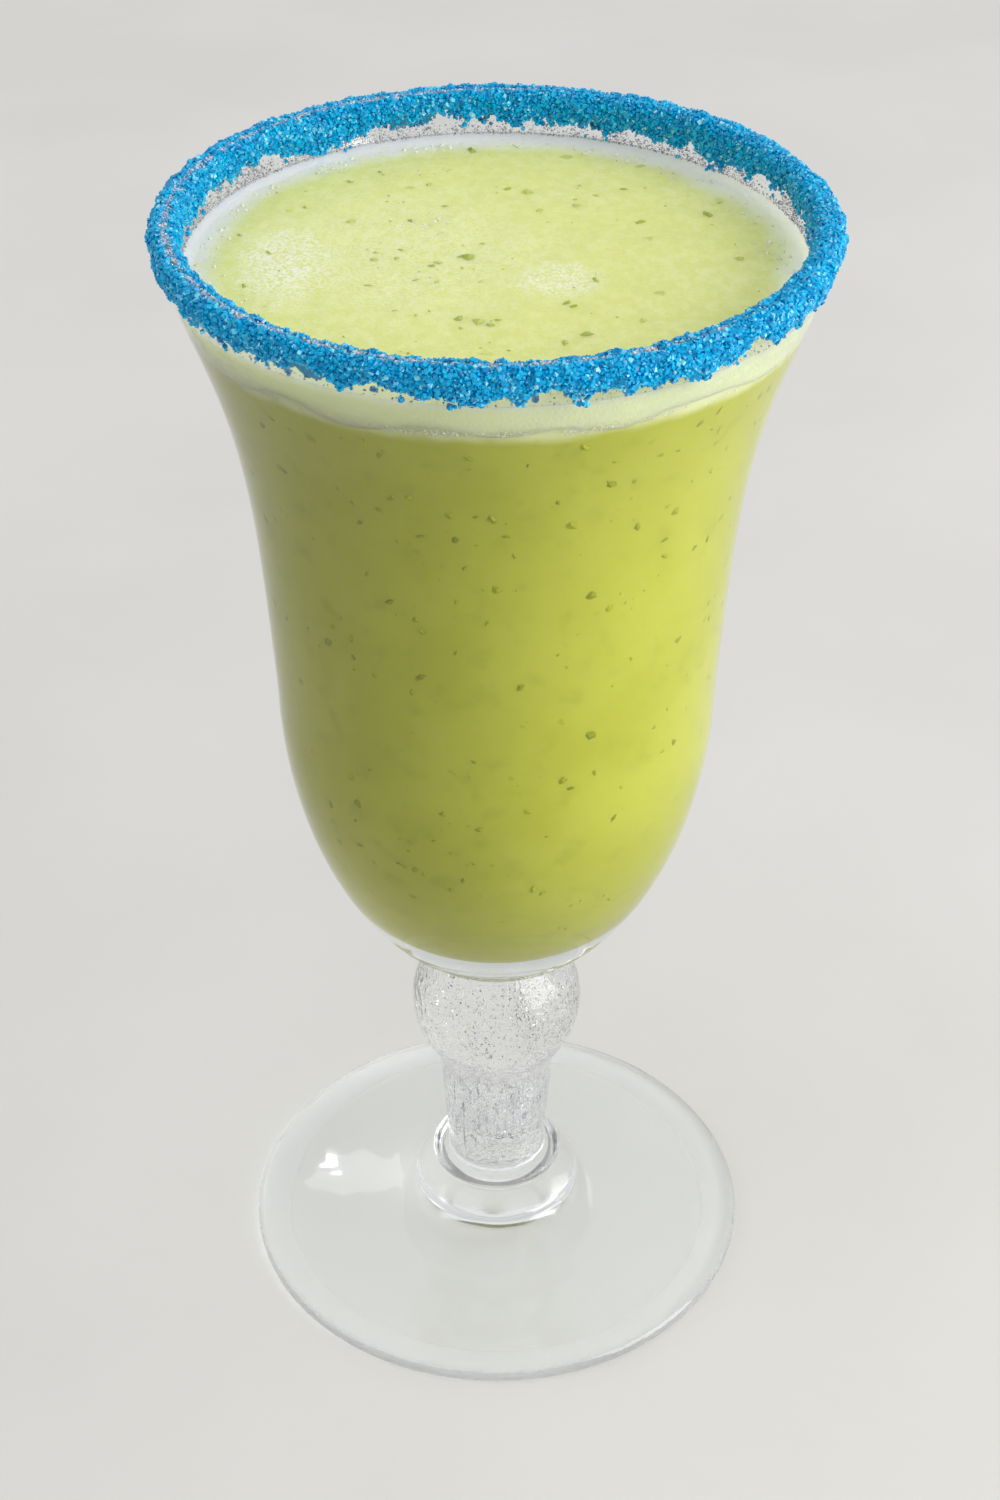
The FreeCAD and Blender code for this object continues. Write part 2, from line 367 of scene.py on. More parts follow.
def plain_mesh(piece, tree, values):
    """Runs a tree on a piece and keeps the result as the piece's own plain mesh."""
    modifier = piece.modifiers.new(tree.name, "NODES")
    modifier.node_group = tree
    for item in tree.interface.items_tree:
        if item.in_out == "INPUT" and item.name in values:
            modifier[item.identifier] = values[item.name]
    evaluated = piece.evaluated_get(bpy.context.evaluated_depsgraph_get())
    mesh = bpy.data.meshes.new_from_object(evaluated)
    piece.modifiers.clear()
    piece.data = mesh
    mesh.name = piece.name
    return piece


def new_piece(name, points=(), edges=(), faces=()):
    """An object at the origin that holds the given mesh."""
    mesh = bpy.data.meshes.new(name)
    mesh.from_pydata(list(points), list(edges), list(faces))
    piece = bpy.data.objects.new(name, mesh)
    bpy.context.scene.collection.objects.link(piece)
    return piece


# %% [markdown]
# ## A lathe in Geometry Nodes
#
# Turning an outline is what a lathe does. The Screw modifier can do it too, but as a tree the
# steps are plain to see: a grid has one row for each point of the outline and one column for
# each step round the axis, and each of its points is moved to where that outline point lies
# at that angle. Merging closes the seam and the two poles.

# %% The lathe
LATHE_INPUTS = {"Outline": "Object", "Rows": "Int", "Columns": "Int", "Finish": "Material"}


def build_lathe():
    tree, nodes, given = new_tree("lathe", LATHE_INPUTS)
    sizes = {"Vertices X": given["Rows"], "Vertices Y": given["Columns"] + 1}
    grid = nodes.add("GeometryNodeMeshGrid", sizes)
    place = nodes.add("GeometryNodeInputPosition")
    row, column, _ = parts(place)
    row = (row + 0.5) * (given["Rows"] - 1)
    row = nodes.add("FunctionNodeFloatToInt", {0: row})
    angle = (column + 0.5) * TURN
    outline = {"Object": given["Outline"]}
    outline = nodes.add("GeometryNodeObjectInfo", outline, output="Geometry")
    picked = {"Geometry": outline, "Value": place, "Index": row}
    picked = nodes.add("GeometryNodeSampleIndex", picked, data_type="FLOAT_VECTOR")
    radius, _, height = parts(picked)
    turned = {
        "X": radius * angle.math("COSINE", angle),
        "Y": radius * angle.math("SINE", angle),
        "Z": height,
    }
    turned = nodes.add("ShaderNodeCombineXYZ", turned)
    shape = nodes.add("GeometryNodeSetPosition", {"Geometry": grid, "Position": turned})
    shape = nodes.add("GeometryNodeMergeByDistance", {"Geometry": shape, "Distance": 1e-6})
    shape = nodes.add("GeometryNodeSetShadeSmooth", {"Geometry": shape})
    end_tree(nodes, shape, given["Finish"])
    return tree


LATHE = build_lathe()


# %% Turning a piece
def face_outwards(piece):
    """Turns the faces of a closed mesh to look out of it, going by its signed volume."""
    body = bmesh.new()
    body.from_mesh(piece.data)
    if body.calc_volume(signed=True) < 0:
        piece.data.flip_normals()
    body.free()


def turn(name, outline, columns, finish):
    """A closed piece turned from an outline that starts and ends on the axis."""
    points = [(radius, 0, height) for radius, height in outline]
    guide = new_piece("outline", points, [(i, i + 1) for i in range(len(points) - 1)])
    values = {"Outline": guide, "Rows": len(points), "Columns": columns, "Finish": finish}
    piece = plain_mesh(new_piece(name), LATHE, values)
    bpy.data.objects.remove(guide)
    face_outwards(piece)
    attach(piece, "root")
    print(name, "has", len(piece.data.polygons), "faces")
    return piece


# %% [markdown]
# ## Starting a finish
#
# Every finish below is made alike: the object's own coordinates, or random numbers that it
# carries, go in, and a Principled shader comes out. Noise at a stated number of waves a metre
# gives unevenness at the scale that the real surface has, and a bump turns a height into the
# slope that light sees.

# %% Helpers for finishes
def make_finish(name, build, *colours):
    """A finish with the shader that build makes of its nodes and the given colours."""
    finish = bpy.data.materials.new(name)
    finish.use_nodes = True
    nodes = Nodes(finish.node_tree)
    nodes.add("ShaderNodeOutputMaterial", {"Surface": build(nodes, *colours)})
    return finish


def own_place(nodes):
    """The object's own coordinates, in metres."""
    return nodes.add("ShaderNodeTexCoord", output="Object")


def principled(nodes, colour, roughness, more=None):
    inputs = {"Base Color": colour, "Roughness": roughness, **(more or {})}
    return nodes.add("ShaderNodeBsdfPrincipled", inputs)


def cloudy(nodes, colour, roughness, ior, share, tint, depth, more=None):
    """A body that light enters to about a depth in metres, and leaves again with a tint."""
    inputs = {
        "IOR": ior,
        "Subsurface Weight": share,
        "Subsurface Radius": tint,
        "Subsurface Scale": depth,
        **(more or {}),
    }
    return principled(nodes, colour, roughness, inputs)


def waves(place, scale, detail=2.0, rough=0.5):
    inputs = {"Vector": place, "Scale": scale, "Detail": detail, "Roughness": rough}
    return place.nodes.add("ShaderNodeTexNoise", inputs)


def cells(place, scale):
    """The distance to the middle of a cell of a cracked pattern, and the cell's colour."""
    return place.nodes.add("ShaderNodeTexVoronoi", {"Vector": place, "Scale": scale})


def bump(height, depth):
    """The slope of a height that runs from 0 to 1, where 1 stands for depth in metres."""
    return height.nodes.add("ShaderNodeBump", {"Height": height, "Distance": depth})


def blend(share, first, second):
    """A colour that goes from first to second as share goes from 0 to 1."""
    inputs = {0: share, 6: first, 7: second}
    return share.nodes.add("ShaderNodeMix", inputs, output=2, data_type="RGBA")


def stretched(place, scale):
    return place.nodes.add("ShaderNodeMapping", {"Vector": place, "Scale": scale})


# %% [markdown]
# ## Clear pressed glass
#
# Pressed glass is clear and smooth, but never perfectly even. The mould leaves a slow
# waviness and two thin seams, the thick stem is grainy, with fine lines drawn down the
# column, and faint rings run round the thick base of the bowl. All of that is far too fine
# to model, so it is bump. The ring that the foot stands on is worn matt, which also lets
# light out of the edge. A glass shader would cast a hard, dark shadow, so shadow rays meet
# a faintly grey transparent shader instead.

# %% Unevenness of the glass
FOOT_FADE = (6 * MM, 9 * MM)
COLLAR = (8 * MM, 15 * MM)
STEM = (17 * MM, 57 * MM)
BOWL_BASE = (55.5 * MM, 63 * MM)
SEAM_WIDTH = 0.16 * MM
SEAM_SHIFT = 1.6 * MM


def zone(height, ends, soft):
    """1 between two heights, easing to 0 over a soft stretch below and above them."""
    return height.step(ends[0] - soft, ends[0]) * (1 - height.step(ends[1], ends[1] + soft))


def glass_relief(place, in_foot, in_collar):
    """Waviness everywhere, grain in the stem, lines in the column, rings under the bowl."""
    across, _, height = parts(place)
    in_stem = zone(height, STEM, 4 * MM)
    in_column = in_stem * (1 - height.step(COLUMN_TOP, COLUMN_TOP + 4 * MM))
    in_base = zone(height, BOWL_BASE, 2 * MM)
    seam = (across - SEAM_SHIFT).math("ABSOLUTE", across - SEAM_SHIFT)
    seam = (1 - seam.step(0.0, SEAM_WIDTH)) * in_stem
    lines = waves(stretched(place, (1.0, 1.0, 0.06)), 1500.0, 1.0)
    rings = waves(stretched(place, (0.03, 0.03, 1.0)), 700.0, 1.0)
    relief = waves(place, 42.0, 1.0) + waves(place, 130.0, 1.0) * in_foot * 0.5
    relief = relief + waves(place, 1000.0, 1.0) * in_stem * 0.65 + lines * in_column * 0.30
    relief = relief + seam * 0.3 + waves(place, 260.0, 1.0) * in_collar * 0.45
    return relief + rings * in_base * 1.1


# %% The glass
GLASS_RELIEF = 0.24 * MM
WORN_HEIGHT = 0.3 * MM
CLEAR = (0.972, 0.985, 0.985, 1)
SHADOW_GREY = (0.93, 0.94, 0.94, 1)


def clear_glass(nodes):
    place = own_place(nodes)
    height = parts(place)[2]
    in_foot = 1 - height.step(*FOOT_FADE)
    in_collar = zone(height, COLLAR, 2 * MM)
    worn = 1 - height.step(CONTACT_CROWN, WORN_HEIGHT)
    relief = glass_relief(place, in_foot, in_collar)
    roughness = 0.02 + worn * 0.5 + in_foot * 0.03 + in_collar * 0.10
    more = {"IOR": 1.5, "Transmission Weight": 1.0, "Normal": bump(relief, GLASS_RELIEF)}
    glass = principled(nodes, CLEAR, roughness, more)
    clear = nodes.add("ShaderNodeBsdfTransparent", {"Color": SHADOW_GREY})
    shadow = nodes.add("ShaderNodeLightPath", output="Is Shadow Ray")
    return nodes.add("ShaderNodeMixShader", {0: shadow, 1: glass, 2: clear})


GLASS = make_finish("clear_pressed_glass", clear_glass)
goblet = turn("goblet_glass", GOBLET_OUTLINE, columns=160, finish=GLASS)
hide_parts("goblet")

# %% [markdown]
# ## Drink and froth
#
# The drink is cloudy: light goes a few millimetres in, is scattered and comes back green.
# It is a solid with subsurface scattering, and it reaches a hair's breadth into the wall, so
# that no thin film of air shines between them. Its colour fades into that of the froth in
# the last few millimetres, along a border that wanders as pulp rises and sinks.

# %% Colour of the drink
REACH = 0.12 * MM
LIME = (0.446, 0.461, 0.034, 1)
LIME_LIGHT = (0.496, 0.512, 0.058, 1)
LIME_DARK = (0.235, 0.270, 0.012, 1)
UNDER_FROTH = (0.74, 0.77, 0.43, 1)
DRINK_FADE = (FROTH_FLOOR - 1.7 * MM, FROTH_FLOOR + 0.4 * MM)


def soft_body(nodes, colour, roughness, gloss, depth, normal):
    """Thin green liquid, or something soaked in it; its gloss is faint."""
    more = {"Specular IOR Level": gloss, "Normal": normal}
    return cloudy(nodes, colour, roughness, 1.36, 0.8, (1.0, 1.0, 0.5), depth, more)


def specks(place, scale, size):
    """Soft dark specks: one in some cells of a cracked pattern, of uneven size."""
    warp = scaled(waves(place, 900.0, 1.0).also("Color"), 1.6 * MM)
    far = cells(place.nodes.add("ShaderNodeVectorMath", {0: place, 1: warp}), scale)
    pick = place.nodes.add("ShaderNodeSeparateColor", {0: far.also("Color")})
    return (1 - far.step(size * 0.35, size)) * pick.step(0.62, 0.95)


def green_drink(nodes):
    place = own_place(nodes)
    cloud = waves(place, 55.0, 3.0)
    drift = waves(place, 260.0, 3.0)
    colour = blend(cloud.step(0.3, 0.7), LIME, LIME_LIGHT)
    colour = blend(specks(place, 210.0, 0.16) * 0.55, colour, LIME_DARK)
    colour = blend(drift.step(0.52, 0.8) * 0.25, colour, LIME_DARK)
    level = parts(place)[2] + (cloud - 0.5) * (2.0 * MM) + (drift - 0.5) * (1.6 * MM)
    colour = blend(level.step(*DRINK_FADE), colour, UNDER_FROTH)
    return soft_body(nodes, colour, 0.3, 0.12, 1.2 * MM, bump(drift, 0.05 * MM))


# %% The drink
OVERLAP = 1.0 * MM
LID_ROW = 0.7


def drink_outline():
    """The drink goes on a little way up inside the froth, so that no seam shows between them."""
    top = FROTH_FLOOR + OVERLAP
    points = [(0.0, top), (inner_radius(top) * LID_ROW, top)]
    return points + wall_points(top, REACH)


DRINK = make_finish("green_drink", green_drink)
drink = turn("fruit_drink", drink_outline(), columns=144, finish=DRINK)
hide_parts("drink")

# %% [markdown]
# Froth is drink with air beaten into it. In the middle it is thin and nearly the drink's own
# green; towards the wall the foam gathers and turns white, and a film of it clings to the
# glass. Its skin is a mass of burst bubbles, too small to see one by one, which break every
# reflection into grains. A few patches of whiter, grainy foam are painted highlights: they
# stand in for the broad grainy gloss on the froth. They are given in millimetres as the place
# to the right and to the back, the half width, the half depth, and how white they are.

# %% Colour of the froth
FROTH_GREEN = (0.81, 0.85, 0.33, 1)
FROTH_PALE = (0.86, 0.89, 0.46, 1)
FROTH_WHITE = (0.95, 0.97, 0.85, 1)
# The film's two colours are painted light on the left and painted shade on the right, to even out
# the lamp on the right.
FILM_PAINTED_LIGHT_LEFT = (0.84, 0.88, 0.56, 1)
FILM_PAINTED_SHADE_RIGHT = (0.62, 0.67, 0.45, 1)
FROTH_SHADE = (0.73, 0.77, 0.25, 1)
FROTH_FLECK = (0.42, 0.50, 0.08, 1)
FROTH_SMEAR = (0.40, 0.53, 0.50, 1)
# Painted highlights: patches where the froth is whitened to stand in for its broad gloss.
FROTH_HIGHLIGHT_PATCHES = (
    (-27.0, -1.5, 8.0, 15.0, 0.75),
    (8.0, -6.0, 7.0, 7.0, 0.70),
    (-12.0, 1.0, 24.0, 26.0, 0.32),
)
FOAM_RING = (34.2 * MM, 38.6 * MM)
FROTH_FADE = (FROTH_FLOOR - 0.6 * MM, FROTH_FLOOR + 2.2 * MM)
FROTH_RELIEF = 0.11 * MM
WALL_LEAN = (inner_radius(FROTH_CREST) - inner_radius(FROTH_FLOOR)) / (FROTH_CREST - FROTH_FLOOR)


def pale_froth(nodes):
    place = own_place(nodes)
    across, deep, height = parts(place)
    radius = across * across + deep * deep
    radius = radius.math("SQRT", radius)
    cloud = waves(place, 60.0, 3.0)
    drift = waves(place, 240.0, 4.0, 0.65)
    foam = waves(place, 1100.0, 3.0, 0.65)
    grain = waves(place, 2400.0, 2.0, 0.6)
    border = radius + (cloud - 0.5) * (3.4 * MM) + (drift - 0.5) * (2.2 * MM)
    colour = blend(cloud.step(0.32, 0.68), FROTH_GREEN, FROTH_PALE)
    mottle = waves(stretched(place, (1.0, 0.8, 1.0)), 560.0, 4.0, 0.72)
    colour = blend(mottle.step(0.38, 0.66) * 0.55, FROTH_SHADE, colour)
    colour = blend(specks(place, 190.0, 0.2) * 0.6, colour, FROTH_FLECK)
    gathered = 0.35 + deep.step(-32 * MM, 2 * MM) * 0.55
    colour = blend(border.step(*FOAM_RING) * gathered, colour, FROTH_WHITE)
    streaks = waves(stretched(place, (1.0, 1.0, 2.6)), 420.0, 3.0, 0.7)
    beyond = radius - inner_radius(FROTH_FLOOR) - (height - FROTH_FLOOR) * WALL_LEAN
    film = beyond.step(0.0, 0.1 * MM) * (1 - streaks.step(0.45, 0.75) * 0.45)
    # The film is painted lighter on the left and darker on the right: painted light and shade, not
    # a change in the film itself.
    colour = blend(film, colour, blend(across.step(-20 * MM, 42 * MM), FILM_PAINTED_LIGHT_LEFT, FILM_PAINTED_SHADE_RIGHT))
    left = 1 - across.step(-37 * MM, -26 * MM)
    colour = blend(film * left * streaks.step(0.48, 0.62) * 0.6, colour, FROTH_SMEAR)
    low = height + (drift - 0.5) * (2.0 * MM)
    colour = blend(low.step(*FROTH_FADE), UNDER_FROTH, colour)
    colour = blend(foam.step(0.5, 0.85) * 0.2, colour, FROTH_WHITE)
    # Each patch whitens the froth in grains to paint in a highlight.
    for east, north, wide, long, strength in FROTH_HIGHLIGHT_PATCHES:
        beside = (across - east * MM) * (1 / (wide * MM))
        ahead = (deep - north * MM) * (1 / (long * MM))
        away = beside * beside + ahead * ahead
        near = 1 - (away.math("SQRT", away) + (drift - 0.5) * 0.8).step(0.3, 1.0)
        colour = blend(near * grain.step(0.40, 0.62) * strength, colour, FROTH_WHITE)
    relief = grain * 0.7 + foam * 0.25 + cells(place, 1900.0) * 0.4
    return soft_body(nodes, colour, 0.28, 0.25, 4.0 * MM, bump(relief, FROTH_RELIEF))


# %% The froth
SKIN = 0.03 * MM
SWELL = 0.16 * MM
SWELL_WAVES = 150.0
SKIRT = 0.4 * MM
SKIRT_TUCK = 0.8 * MM
SKIRT_WANDER = 0.7 * MM


def skirt_radius(height):
    """The froth's side. Its lowest edge tucks in behind the skin of the drink."""
    tuck = max(0.0, (FROTH_FLOOR - SKIRT + SKIRT_TUCK - height) / SKIRT_TUCK)
    return inner_radius(height) + REACH + SKIN * (1 - 2.5 * tuck**2)


def froth_outline():
    flat = inner_radius(FROTH_CREST) - MENISCUS_WIDTH
    creep = (MENISCUS_WIDTH**2 + MENISCUS_HEIGHT**2) / (2 * MENISCUS_HEIGHT)
    points = [(flat * i / 60, FROTH_TOP) for i in range(61)]
    for step in range(1, 9):
        across = MENISCUS_WIDTH * step / 8
        points.append((flat + across, FROTH_TOP + creep - math.sqrt(creep**2 - across**2)))
    low = FROTH_FLOOR - SKIRT
    points += [(skirt_radius(z), z) for z in ease(FROTH_CREST, low, 20)]
    return points + [(inner_radius(low) * LID_ROW, low), (0.0, low)]


FROTH = make_finish("pale_froth", pale_froth)
froth = turn("froth_layer", froth_outline(), columns=180, finish=FROTH)
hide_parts("froth")
for point in froth.data.vertices:
    depth = (FROTH_TOP - point.co.z) / (FROTH_TOP - FROTH_FLOOR)
    if abs(depth) < 0.01:
        point.co.z += SWELL * noise.noise(point.co * SWELL_WAVES)
    elif depth > 0:
        bearing = Vector((point.co.x, point.co.y, 0)).normalized()
        point.co.z += SKIRT_WANDER * depth**2 * noise.noise(bearing * 3)

# %% [markdown]
# ## Scattering small things over a surface
#
# Sugar crystals, pulp and bubbles are all the same task: a few kinds of small body, strewn
# over a surface at random but never on top of each other. One tree does it for all of them.
# The surface carries a number called cover on its points, which thins the scatter out where
# it is small. Each body also gets a random number called tint, and each of its faces one
# called facet, from 0 to 1, for the finishes to read.

# %% The scatter tree
SCATTER_SIZES = ("Spacing", "Density", "Small", "Large", "Sunk", "Proud", "Tumble", "Spin")
SCATTER_INPUTS = {
    "Surface": "Geometry",
    "Kinds": "Collection",
    **dict.fromkeys(SCATTER_SIZES, "Float"),
    "Seed": "Int",
    "Finish": "Material",
}


def chance(nodes, seed, low=0.0, high=1.0, kind="FLOAT"):
    """A random value for each point, face or instance."""
    # Each kind of value has its own sockets: the lowest, the highest and the result.
    ports = {"FLOAT": (2, 3, 1), "FLOAT_VECTOR": (0, 1, 0), "INT": (4, 5, 2)}[kind]
    inputs = {ports[0]: low, ports[1]: high, "Seed": seed}
    return nodes.add("FunctionNodeRandomValue", inputs, output=ports[2], data_type=kind)


def remember(nodes, shape, name, domain, value):
    inputs = {"Geometry": shape, "Name": name, "Value": value}
    return nodes.add("GeometryNodeStoreNamedAttribute", inputs, domain=domain)


def build_scatter():
    tree, nodes, given = new_tree("scatter", SCATTER_INPUTS)
    seed = given["Seed"]
    spread = {
        "Mesh": given["Surface"],
        "Distance Min": given["Spacing"],
        "Density Max": given["Density"],
        "Density Factor": nodes.add("GeometryNodeInputNamedAttribute", {"Name": "cover"}),
        "Seed": seed,
    }
    method = {"distribute_method": "POISSON"}
    spots = nodes.add("GeometryNodeDistributePointsOnFaces", spread, **method)
    away, facing = spots.also("Normal"), spots.also("Rotation")
    lift = scaled(away, chance(nodes, seed + 1, given["Sunk"], given["Proud"]))
    spots = nodes.add("GeometryNodeSetPosition", {"Geometry": spots, "Offset": lift})
    lean, round_it = given["Tumble"], given["Spin"]
    low = nodes.add("ShaderNodeCombineXYZ", {"X": 0 - lean, "Y": 0 - lean, "Z": 0 - round_it})
    high = nodes.add("ShaderNodeCombineXYZ", {"X": lean, "Y": lean, "Z": round_it})
    spin = chance(nodes, seed + 2, low, high, "FLOAT_VECTOR")
    spun = {0: facing, 1: nodes.add("FunctionNodeEulerToRotation", {0: spin})}
    facing = nodes.add("FunctionNodeRotateRotation", spun, rotation_space="LOCAL")
    kinds = {"Collection": given["Kinds"], "Separate Children": True, "Reset Children": True}
    size = chance(nodes, seed + 3)
    placed = {
        "Points": spots,
        "Instance": nodes.add("GeometryNodeCollectionInfo", kinds),
        "Pick Instance": True,
        "Instance Index": chance(nodes, seed + 4, 0, 1000, "INT"),
        "Rotation": facing,
        "Scale": given["Small"] + (given["Large"] - given["Small"]) * size * size,
    }
    grains = nodes.add("GeometryNodeInstanceOnPoints", placed)
    grains = remember(nodes, grains, "tint", "INSTANCE", chance(nodes, seed + 5))
    grains = nodes.add("GeometryNodeRealizeInstances", {"Geometry": grains})
    grains = remember(nodes, grains, "facet", "FACE", chance(nodes, seed + 6))
    end_tree(nodes, grains, given["Finish"])
    return tree


SCATTER = build_scatter()


# %% Strewing bodies with the tree
def clamp(value, low=0.0, high=1.0):
    return max(low, min(high, value))


ANY_WAY = (math.pi, math.pi)


def scatter(name, surface, kinds, finish, seed, spacing, density, size, depth, turns=ANY_WAY):
    """Strews bodies over a surface and keeps only them, held inside the frame's box.

    Spacing, size and depth are in millimetres, density is in bodies to a square metre.
    """
    piece = new_piece(name)
    piece.data = surface.data.copy()
    lengths = [each * MM for each in (*size, *depth)]
    values = dict(zip(SCATTER_SIZES, (spacing * MM, density, *lengths, *turns)))
    values.update({"Kinds": kinds, "Seed": seed, "Finish": finish})
    plain_mesh(piece, SCATTER, values)
    bpy.data.objects.remove(surface)
    for point in piece.data.vertices:
        point.co = [clamp(c, low, high) for c, low, high in zip(point.co, *CAD_BOX)]
    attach(piece, "root")
    print(name, "has", len(piece.data.polygons), "faces")


# %% [markdown]
# A scatter needs something to strew and something to strew it on. The bodies are convex
# hulls of a few points, made about one metre across and scaled down by the tree. The
# surfaces are rings, given by a function from angle and share to place and cover.

# %% Small bodies
def small_kinds(name, count, shape, seed):
    """A collection of small bodies about one metre across; shape fills a mesh with one."""
    kinds = bpy.data.collections.new(name)
    dice = random.Random(seed)
    for number in range(count):
        mesh = bpy.data.meshes.new(f"{name}_{number}")
        body = bmesh.new()
        shape(body, dice)
        bmesh.ops.recalc_face_normals(body, faces=body.faces)
        body.to_mesh(mesh)
        body.free()
        kinds.objects.link(bpy.data.objects.new(mesh.name, mesh))
    return kinds


def hull(body, corners):
    """Fills a mesh with the tight skin round some points."""
    for place in corners:
        body.verts.new(place)
    made = bmesh.ops.convex_hull(body, input=body.verts)
    inner = [each for each in made["geom_interior"] if isinstance(each, bmesh.types.BMVert)]
    bmesh.ops.delete(body, geom=inner, context="VERTS")


# %% Ring surfaces
def round_axis(radius, angle, height):
    return Vector((radius * math.cos(angle), radius * math.sin(angle), height))


def band_faces(first, columns, stride, rows, outwards):
    """Faces of a band whose columns have stride points each, counted from first on."""
    faces = []
    for column in range(columns):
        here = first + column * stride
        there = first + (column + 1) % columns * stride
        for row in range(rows):
            after = (row + 1) % stride
            face = (here + row, there + row, there + after, here + after)
            faces.append(face if outwards else face[::-1])
    return faces


def ring_surface(columns, rows, where, outwards=True):
    """A band round the axis; where(angle, share) gives a point, then the cover there."""
    points = []
    cover = []
    for column in range(columns):
        for row in range(rows + 1):
            place, amount = where(TURN * column / columns, row / rows)
            points.append(place)
            cover.append(amount)
    faces = band_faces(0, columns, rows + 1, rows, outwards)
    surface = new_piece("surface", points, (), faces)
    surface.data.attributes.new("cover", "FLOAT", "POINT").data.foreach_set("value", cover)
    return surface


def clear_away(kinds):
    """Removes small bodies that only served to make others."""
    bpy.data.batch_remove([*kinds.objects, kinds])


# %% [markdown]
# ## Where the sugar lies
#
# The lip was wetted and dipped, so the crust hangs down on both sides and ends in a ragged
# toe. A place on the glass there is best told by two numbers: the angle round the axis, and
# the distance along the skin of the glass from the very top of the lip. Counting outside
# distances as positive and inside ones as negative, one function serves both sides.

# %% The skin of the lip
ROUND = LIP_HALF * TURN / 4


def lip_place(angle, along):
    """A point on the glass and the way out of it, at a distance along its skin."""
    if abs(along) < ROUND:
        lean = along / LIP_HALF
        out, up = math.sin(lean), math.cos(lean)
        radius, height = LIP_MIDDLE + LIP_HALF * out, LIP_CENTRE + LIP_HALF * up
    else:
        height = LIP_CENTRE - (abs(along) - ROUND)
        radius = (outer_radius if along > 0 else inner_radius)(height)
        out, up = math.copysign(1, along), 0.0
    return round_axis(radius, angle, height), round_axis(out, angle, up)


# %% Ragged edges of the crust
CRUST_DROP = {1: 2.30 * MM, -1: 2.15 * MM}
RAGGED = 3.2 * MM
RAGGED_MOST = 1.75 * MM
RAGGED_WAVES = ((3, 0.20), (9, 0.62), (22, 0.32), (60, 0.14))
BARE_MIDDLE = {1: 0.36 * MM, -1: 0.66 * MM}
BARE_BACK = {1: -0.12 * MM, -1: -0.06 * MM}


def ragged(angle, seed):
    """An uneven number round the rim, about -1 to 1."""
    round_rim = round_axis(1, angle, seed)
    return sum(share * noise.noise(round_rim * beats) for beats, share in RAGGED_WAVES)


def toe(angle, side):
    """How far along the skin the crust reaches."""
    wander = RAGGED * ragged(angle, 4.0 + side)
    return ROUND + CRUST_DROP[side] + clamp(wander, -RAGGED_MOST, RAGGED_MOST)


def bare(angle, side):
    """How far from the top of the lip the crust starts; on the right it closes over it."""
    right, back = math.cos(angle), math.sin(angle)
    closing = clamp(0.85 - 1.2 * right + 0.6 * max(0.0, -back))
    width = BARE_MIDDLE[side] + BARE_BACK[side] * back
    uneven = 1.3 - 0.9 * max(0.0, back)
    return closing * width * max(0.25, 0.95 + uneven * noise.noise(round_axis(25, angle, 3)))


# %% [markdown]
# ## Sugar
#
# Up close the crust is a heap of broken cubes. A dozen faces each is enough: the sparkle
# comes from flat facets that catch the light one at a time. Only the outermost layer is ever
# seen, so the inside of the heap is a solid core, a little thinner than the crust.

# %% The core of the crust
CORE_THICKNESS = 0.60 * MM
CORE_SUNK = 0.04 * MM
CORE_COLUMNS = 720
CORE_ROWS = 10


def crust_depth(angle, share):
    """Thickness of the core from the top of the lip (share 0) to the toe (share 1)."""
    swell = math.sin(math.pi * (0.03 + 0.91 * share)) ** 0.6
    place = round_axis(38, angle, share * 3)
    lumps = noise.noise(place * 0.9) + 0.6 * noise.noise(place * 0.3)
    return CORE_THICKNESS * swell * (1 + 0.9 * max(-0.55, lumps))


def core_leg(side):
    """The points of one leg of the core: down its face, then back up inside the glass."""
    for column in range(CORE_COLUMNS):
        angle = TURN * column / CORE_COLUMNS
        start, end = bare(angle, side), toe(angle, side)
        for row in range(CORE_ROWS + 1):
            share = row / CORE_ROWS
            place, out = lip_place(angle, side * (start + (end - start) * share))
            yield place + out * crust_depth(angle, share)
        for row in range(CORE_ROWS, -1, -1):
            place, out = lip_place(angle, side * (start + (end - start) * row / CORE_ROWS))
            yield place - out * CORE_SUNK


def core_mesh():
    points = []
    faces = []
    around = 2 * (CORE_ROWS + 1)
    for side in (1, -1):
        faces += band_faces(len(points), CORE_COLUMNS, around, around, side > 0)
        points += core_leg(side)
    return new_piece("sugar_core", points, (), faces)


# %% [markdown]
# The sugar is dyed, and its crystals are part clear, so no two facets have the same blue.
# Each crystal takes its own tint. Each facet takes its own shade, which is painted light: it
# stands in for the light bent inside a clear crystal. The palest facets are painted glints,
# and a few crystals are almost without dye, which also makes them painted sparkles. Low
# roughness makes single facets flash.

# %% Sugar finishes
SUGAR_DEEP = (0.0, 0.195, 0.480, 1)
SUGAR_BLUE = (0.0, 0.375, 0.720, 1)
SUGAR_CYAN = (0.0, 0.590, 0.880, 1)
# Near-white blue: partly undyed sugar, partly painted glints and sparkle.
SUGAR_ICE_AND_GLINT = (0.320, 0.800, 0.920, 1)


def read(nodes, name):
    return nodes.add("ShaderNodeAttribute", output="Fac", attribute_name=name)


def sugar_skin(nodes, colour, roughness=0.14):
    more = {"Specular IOR Level": 0.38}
    return cloudy(nodes, colour, roughness, 1.47, 0.4, (1.0, 1.0, 1.0), 0.25 * MM, more)


